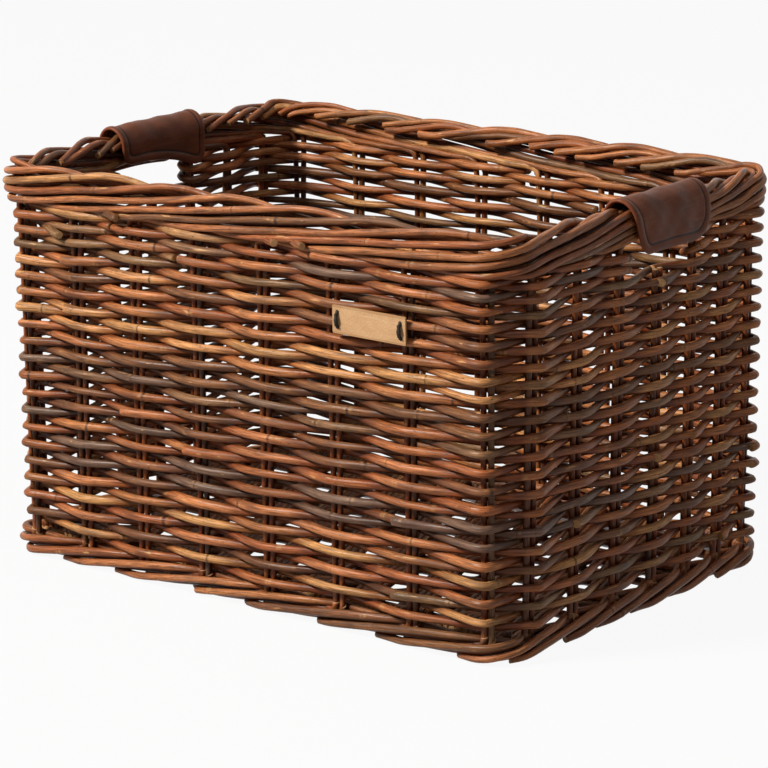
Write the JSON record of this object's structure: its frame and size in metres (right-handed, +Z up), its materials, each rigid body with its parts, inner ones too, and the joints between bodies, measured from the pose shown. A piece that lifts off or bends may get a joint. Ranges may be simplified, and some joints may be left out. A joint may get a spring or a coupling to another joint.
{
  "type": "bicycle basket",
  "caption": "Open rectangular woven-rod basket with rolled borders, a hand hole under a leather grip in each short wall and a bare leather label tied to the front.",
  "frame": {"origin": "on the floor under the middle of the basket's bounding box", "axes": "+X along the long walls towards the right grip, +Y from the front wall with the label to the back wall, +Z up"},
  "size_m": [0.4654, 0.3238, 0.2904],
  "materials": {
    "stake_rods": "brown stained peeled rod, satin",
    "weaver_rods": "brown stained peeled rod, satin",
    "grey_weaver_rods": "grey-brown weathered rod, satin",
    "base_rods": "brown stained peeled rod, satin",
    "grip_leather": "dark brown leather, creased, satin",
    "label_leather": "undyed tan leather, matte",
    "tie_cord": "dark waxed cord"
  },
  "bodies": {
    "root": {"wall_weaver_a1": "weaver_rods", "wall_weaver_a2": "grey_weaver_rods", "wall_weaver_a3": "weaver_rods", "wall_weaver_a4": "grey_weaver_rods", "wall_weaver_a5": "weaver_rods", "wall_weaver_a6": "grey_weaver_rods", "wall_weaver_b1": "weaver_rods", "wall_weaver_b2": "grey_weaver_rods", "wall_weaver_b3": "weaver_rods", "wall_weaver_b4": "grey_weaver_rods", "wall_weaver_b5": "weaver_rods", "wall_weaver_b6": "grey_weaver_rods", "upper_weaver_back": "weaver_rods", "upper_weaver_front": "weaver_rods", "stake_pair_front_1": "stake_rods", "stake_pair_front_2": "stake_rods", "stake_pair_front_3": "stake_rods", "stake_pair_front_4": "stake_rods", "stake_pair_front_5": "stake_rods", "stake_pair_front_6": "stake_rods", "stake_pair_front_7": "stake_rods", "stake_pair_front_8": "stake_rods", "stake_pair_right_1": "stake_rods", "stake_pair_right_2": "stake_rods", "stake_pair_right_3": "stake_rods", "stake_pair_right_4": "stake_rods", "stake_pair_right_5": "stake_rods", "stake_pair_right_6": "stake_rods", "stake_pair_right_7": "stake_rods", "stake_pair_back_1": "stake_rods", "stake_pair_back_2": "stake_rods", "stake_pair_back_3": "stake_rods", "stake_pair_back_4": "stake_rods", "stake_pair_back_5": "stake_rods", "stake_pair_back_6": "stake_rods", "stake_pair_back_7": "stake_rods", "stake_pair_back_8": "stake_rods", "stake_pair_left_1": "stake_rods", "stake_pair_left_2": "stake_rods", "stake_pair_left_3": "stake_rods", "stake_pair_left_4": "stake_rods", "stake_pair_left_5": "stake_rods", "stake_pair_left_6": "stake_rods", "stake_pair_left_7": "stake_rods", "base_stick_1": "base_rods", "base_stick_2": "base_rods", "base_stick_3": "base_rods", "base_stick_4": "base_rods", "base_stick_5": "base_rods", "base_stick_6": "base_rods", "base_stick_7": "base_rods", "base_weaver": "base_rods", "grip_right": "grip_leather", "grip_left": "grip_leather", "label": "label_leather", "label_tie_left": "tie_cord", "label_tie_right": "tie_cord"}
  },
  "joints": []
}
